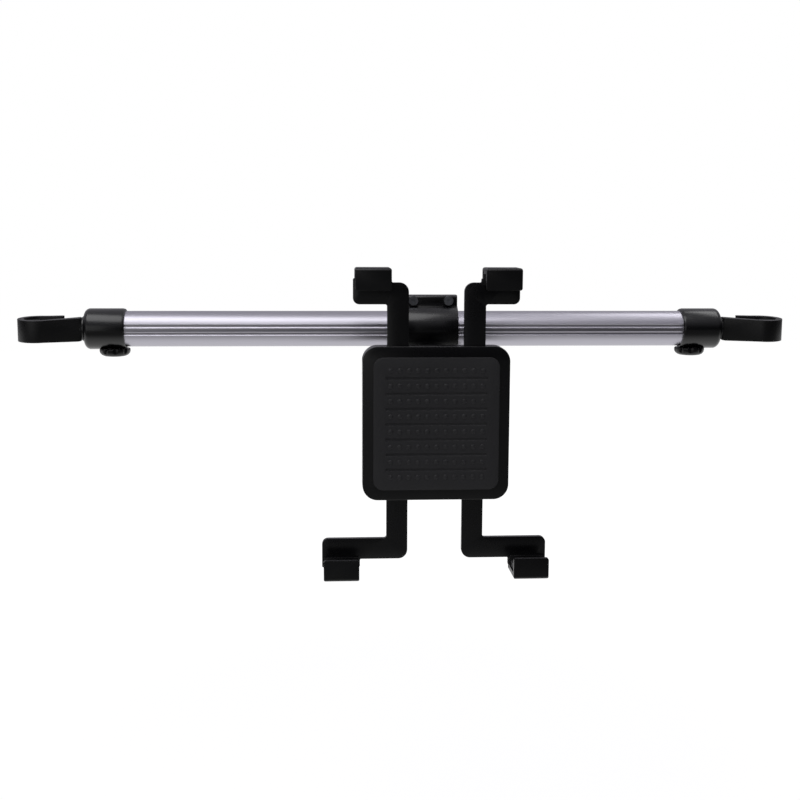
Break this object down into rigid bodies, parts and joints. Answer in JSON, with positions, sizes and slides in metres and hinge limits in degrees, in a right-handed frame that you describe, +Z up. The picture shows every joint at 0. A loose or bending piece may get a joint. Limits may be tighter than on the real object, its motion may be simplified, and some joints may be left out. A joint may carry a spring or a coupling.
{
  "type": "headrest tablet mount",
  "caption": "Fluted telescopic bar that hooks onto two headrest posts and carries a self-centring clawed cradle on a ball joint for a flat device.",
  "frame": {"origin": "axis of the left post seat, at the middle of the hook's height", "axes": "+X along the bar to the right post, +Z up along the posts, -Y towards the user"},
  "size_m": [0.521, 0.1023, 0.2026],
  "materials": {
    "satin_aluminium": "satin anodised",
    "polished_steel": "polished",
    "screw_steel": "plated",
    "brass": "turned",
    "moulded_black": "fine moulded texture",
    "bush_plastic": "moulded",
    "hook_black": "fine moulded texture",
    "knob_black": "semi-gloss",
    "claw_black": "satin moulded",
    "soft_rubber": "matt",
    "acetal_white": "machined"
  },
  "bodies": {
    "bar": {"bar_tube": "satin_aluminium", "collar_left": "moulded_black", "collar_right": "moulded_black", "lock_nut_left": "brass", "lock_nut_right": "brass"},
    "carriage": {"carriage_body": "moulded_black", "carriage_cap": "moulded_black", "carriage_screws": "screw_steel", "carriage_nuts": "screw_steel", "carriage_insert": "brass"},
    "carriage_lock": {"carriage_knob": "knob_black", "carriage_stud": "screw_steel"},
    "arm": {"arm": "moulded_black", "arm_bolt": "screw_steel", "arm_washer": "screw_steel", "socket_ring": "moulded_black"},
    "arm_lock": {"arm_knob": "knob_black", "arm_knob_insert": "brass"},
    "liner": {"ball_liner": "acetal_white"},
    "ball": {"ball_stud": "polished_steel"},
    "cradle": {"cradle_back": "moulded_black", "cradle_front": "moulded_black", "cradle_pad": "soft_rubber", "cradle_screws": "screw_steel", "turntable_ring": "moulded_black", "turntable_screws": "screw_steel", "pinion_pin": "screw_steel", "pinion_washer": "screw_steel"},
    "upper_jaw": {"upper_bracket": "moulded_black", "claw_upper_left": "claw_black", "claw_upper_right": "claw_black", "claw_pad_upper_left": "soft_rubber", "claw_pad_upper_right": "soft_rubber", "upper_claw_screws": "screw_steel"},
    "lower_jaw": {"lower_bracket": "moulded_black", "claw_lower_left": "claw_black", "claw_lower_right": "claw_black", "claw_pad_lower_left": "soft_rubber", "claw_pad_lower_right": "soft_rubber", "lower_claw_screws": "screw_steel"},
    "pinion": {"pinion": "acetal_white"},
    "rod_left": {"rod_left": "polished_steel", "rod_bush_left": "bush_plastic", "hook_pin_left": "screw_steel"},
    "hook_left": {"hook_left": "hook_black", "hook_pad_left": "soft_rubber"},
    "thumb_left": {"thumb_knob_left": "knob_black", "lock_stud_left": "screw_steel"},
    "rod_right": {"rod_right": "polished_steel", "rod_bush_right": "bush_plastic", "hook_pin_right": "screw_steel"},
    "hook_right": {"hook_right": "hook_black", "hook_pad_right": "soft_rubber"},
    "thumb_right": {"thumb_knob_right": "knob_black", "lock_stud_right": "screw_steel"}
  },
  "joints": [
    {"name": "rod_slide_left", "type": "slide", "parent": "bar", "child": "rod_left", "axis": [-1, 0, 0], "range_m": [0, 0.12]},
    {"name": "hook_swivel_left", "type": "hinge", "parent": "rod_left", "child": "hook_left", "pos_m": [0.0292, 0.004, 0], "axis": [1, 0, 0], "range_deg": [-45, 45]},
    {"name": "thumb_turn_left", "type": "hinge", "parent": "bar", "child": "thumb_left", "pos_m": [0.05, 0.004, -0.0131], "axis": [0, 0, -1], "range_deg": [0, 360]},
    {"name": "rod_slide_right", "type": "slide", "parent": "bar", "child": "rod_right", "axis": [1, 0, 0], "range_m": [0, 0.12]},
    {"name": "hook_swivel_right", "type": "hinge", "parent": "rod_right", "child": "hook_right", "pos_m": [0.4658, 0.004, 0], "axis": [1, 0, 0], "range_deg": [-45, 45]},
    {"name": "thumb_turn_right", "type": "hinge", "parent": "bar", "child": "thumb_right", "pos_m": [0.445, 0.004, -0.0131], "axis": [0, 0, -1], "range_deg": [0, 360]},
    {"name": "carriage_slide", "type": "slide", "parent": "bar", "child": "carriage", "axis": [1, 0, 0], "range_m": [-0.15, 0.12]},
    {"name": "carriage_lock_turn", "type": "hinge", "parent": "carriage", "child": "carriage_lock", "pos_m": [0.2635, 0.028, 0], "axis": [0, 1, 0], "range_deg": [0, 360]},
    {"name": "arm_hinge", "type": "hinge", "parent": "carriage", "child": "arm", "pos_m": [0.2635, 0.004, -0.036], "axis": [1, 0, 0], "range_deg": [-10, 15]},
    {"name": "arm_lock_turn", "type": "hinge", "parent": "arm", "child": "arm_lock", "pos_m": [0.275, 0.004, -0.036], "axis": [1, 0, 0], "range_deg": [0, 360]},
    {"name": "ball_swivel", "type": "hinge", "parent": "arm", "child": "liner", "pos_m": [0.2635, -0.015, -0.058], "axis": [0, 0, 1], "range_deg": [-10, 10]},
    {"name": "ball_tilt", "type": "hinge", "parent": "liner", "child": "ball", "pos_m": [0.2635, -0.015, -0.058], "axis": [1, 0, 0], "range_deg": [-10, 10]},
    {"name": "cradle_spin", "type": "hinge", "parent": "ball", "child": "cradle", "pos_m": [0.2635, -0.015, -0.058], "axis": [0, -1, 0], "continuous": true},
    {"name": "upper_jaw_slide", "type": "slide", "parent": "cradle", "child": "upper_jaw", "axis": [0, 0, 1], "range_m": [-0.025, 0.0075]},
    {"name": "lower_jaw_slide", "type": "slide", "parent": "cradle", "child": "lower_jaw", "axis": [0, 0, -1], "range_m": [-0.025, 0.0075]},
    {"name": "pinion_turn", "type": "hinge", "parent": "cradle", "child": "pinion", "pos_m": [0.2635, -0.015, -0.058], "axis": [0, -1, 0], "range_deg": [-192, 58]}
  ],
  "couplings": [
    {"joint": "lower_jaw_slide", "follows": "upper_jaw_slide", "ratio": 1},
    {"joint": "pinion_turn", "follows": "upper_jaw_slide", "rad_per_m": 133.33}
  ]
}
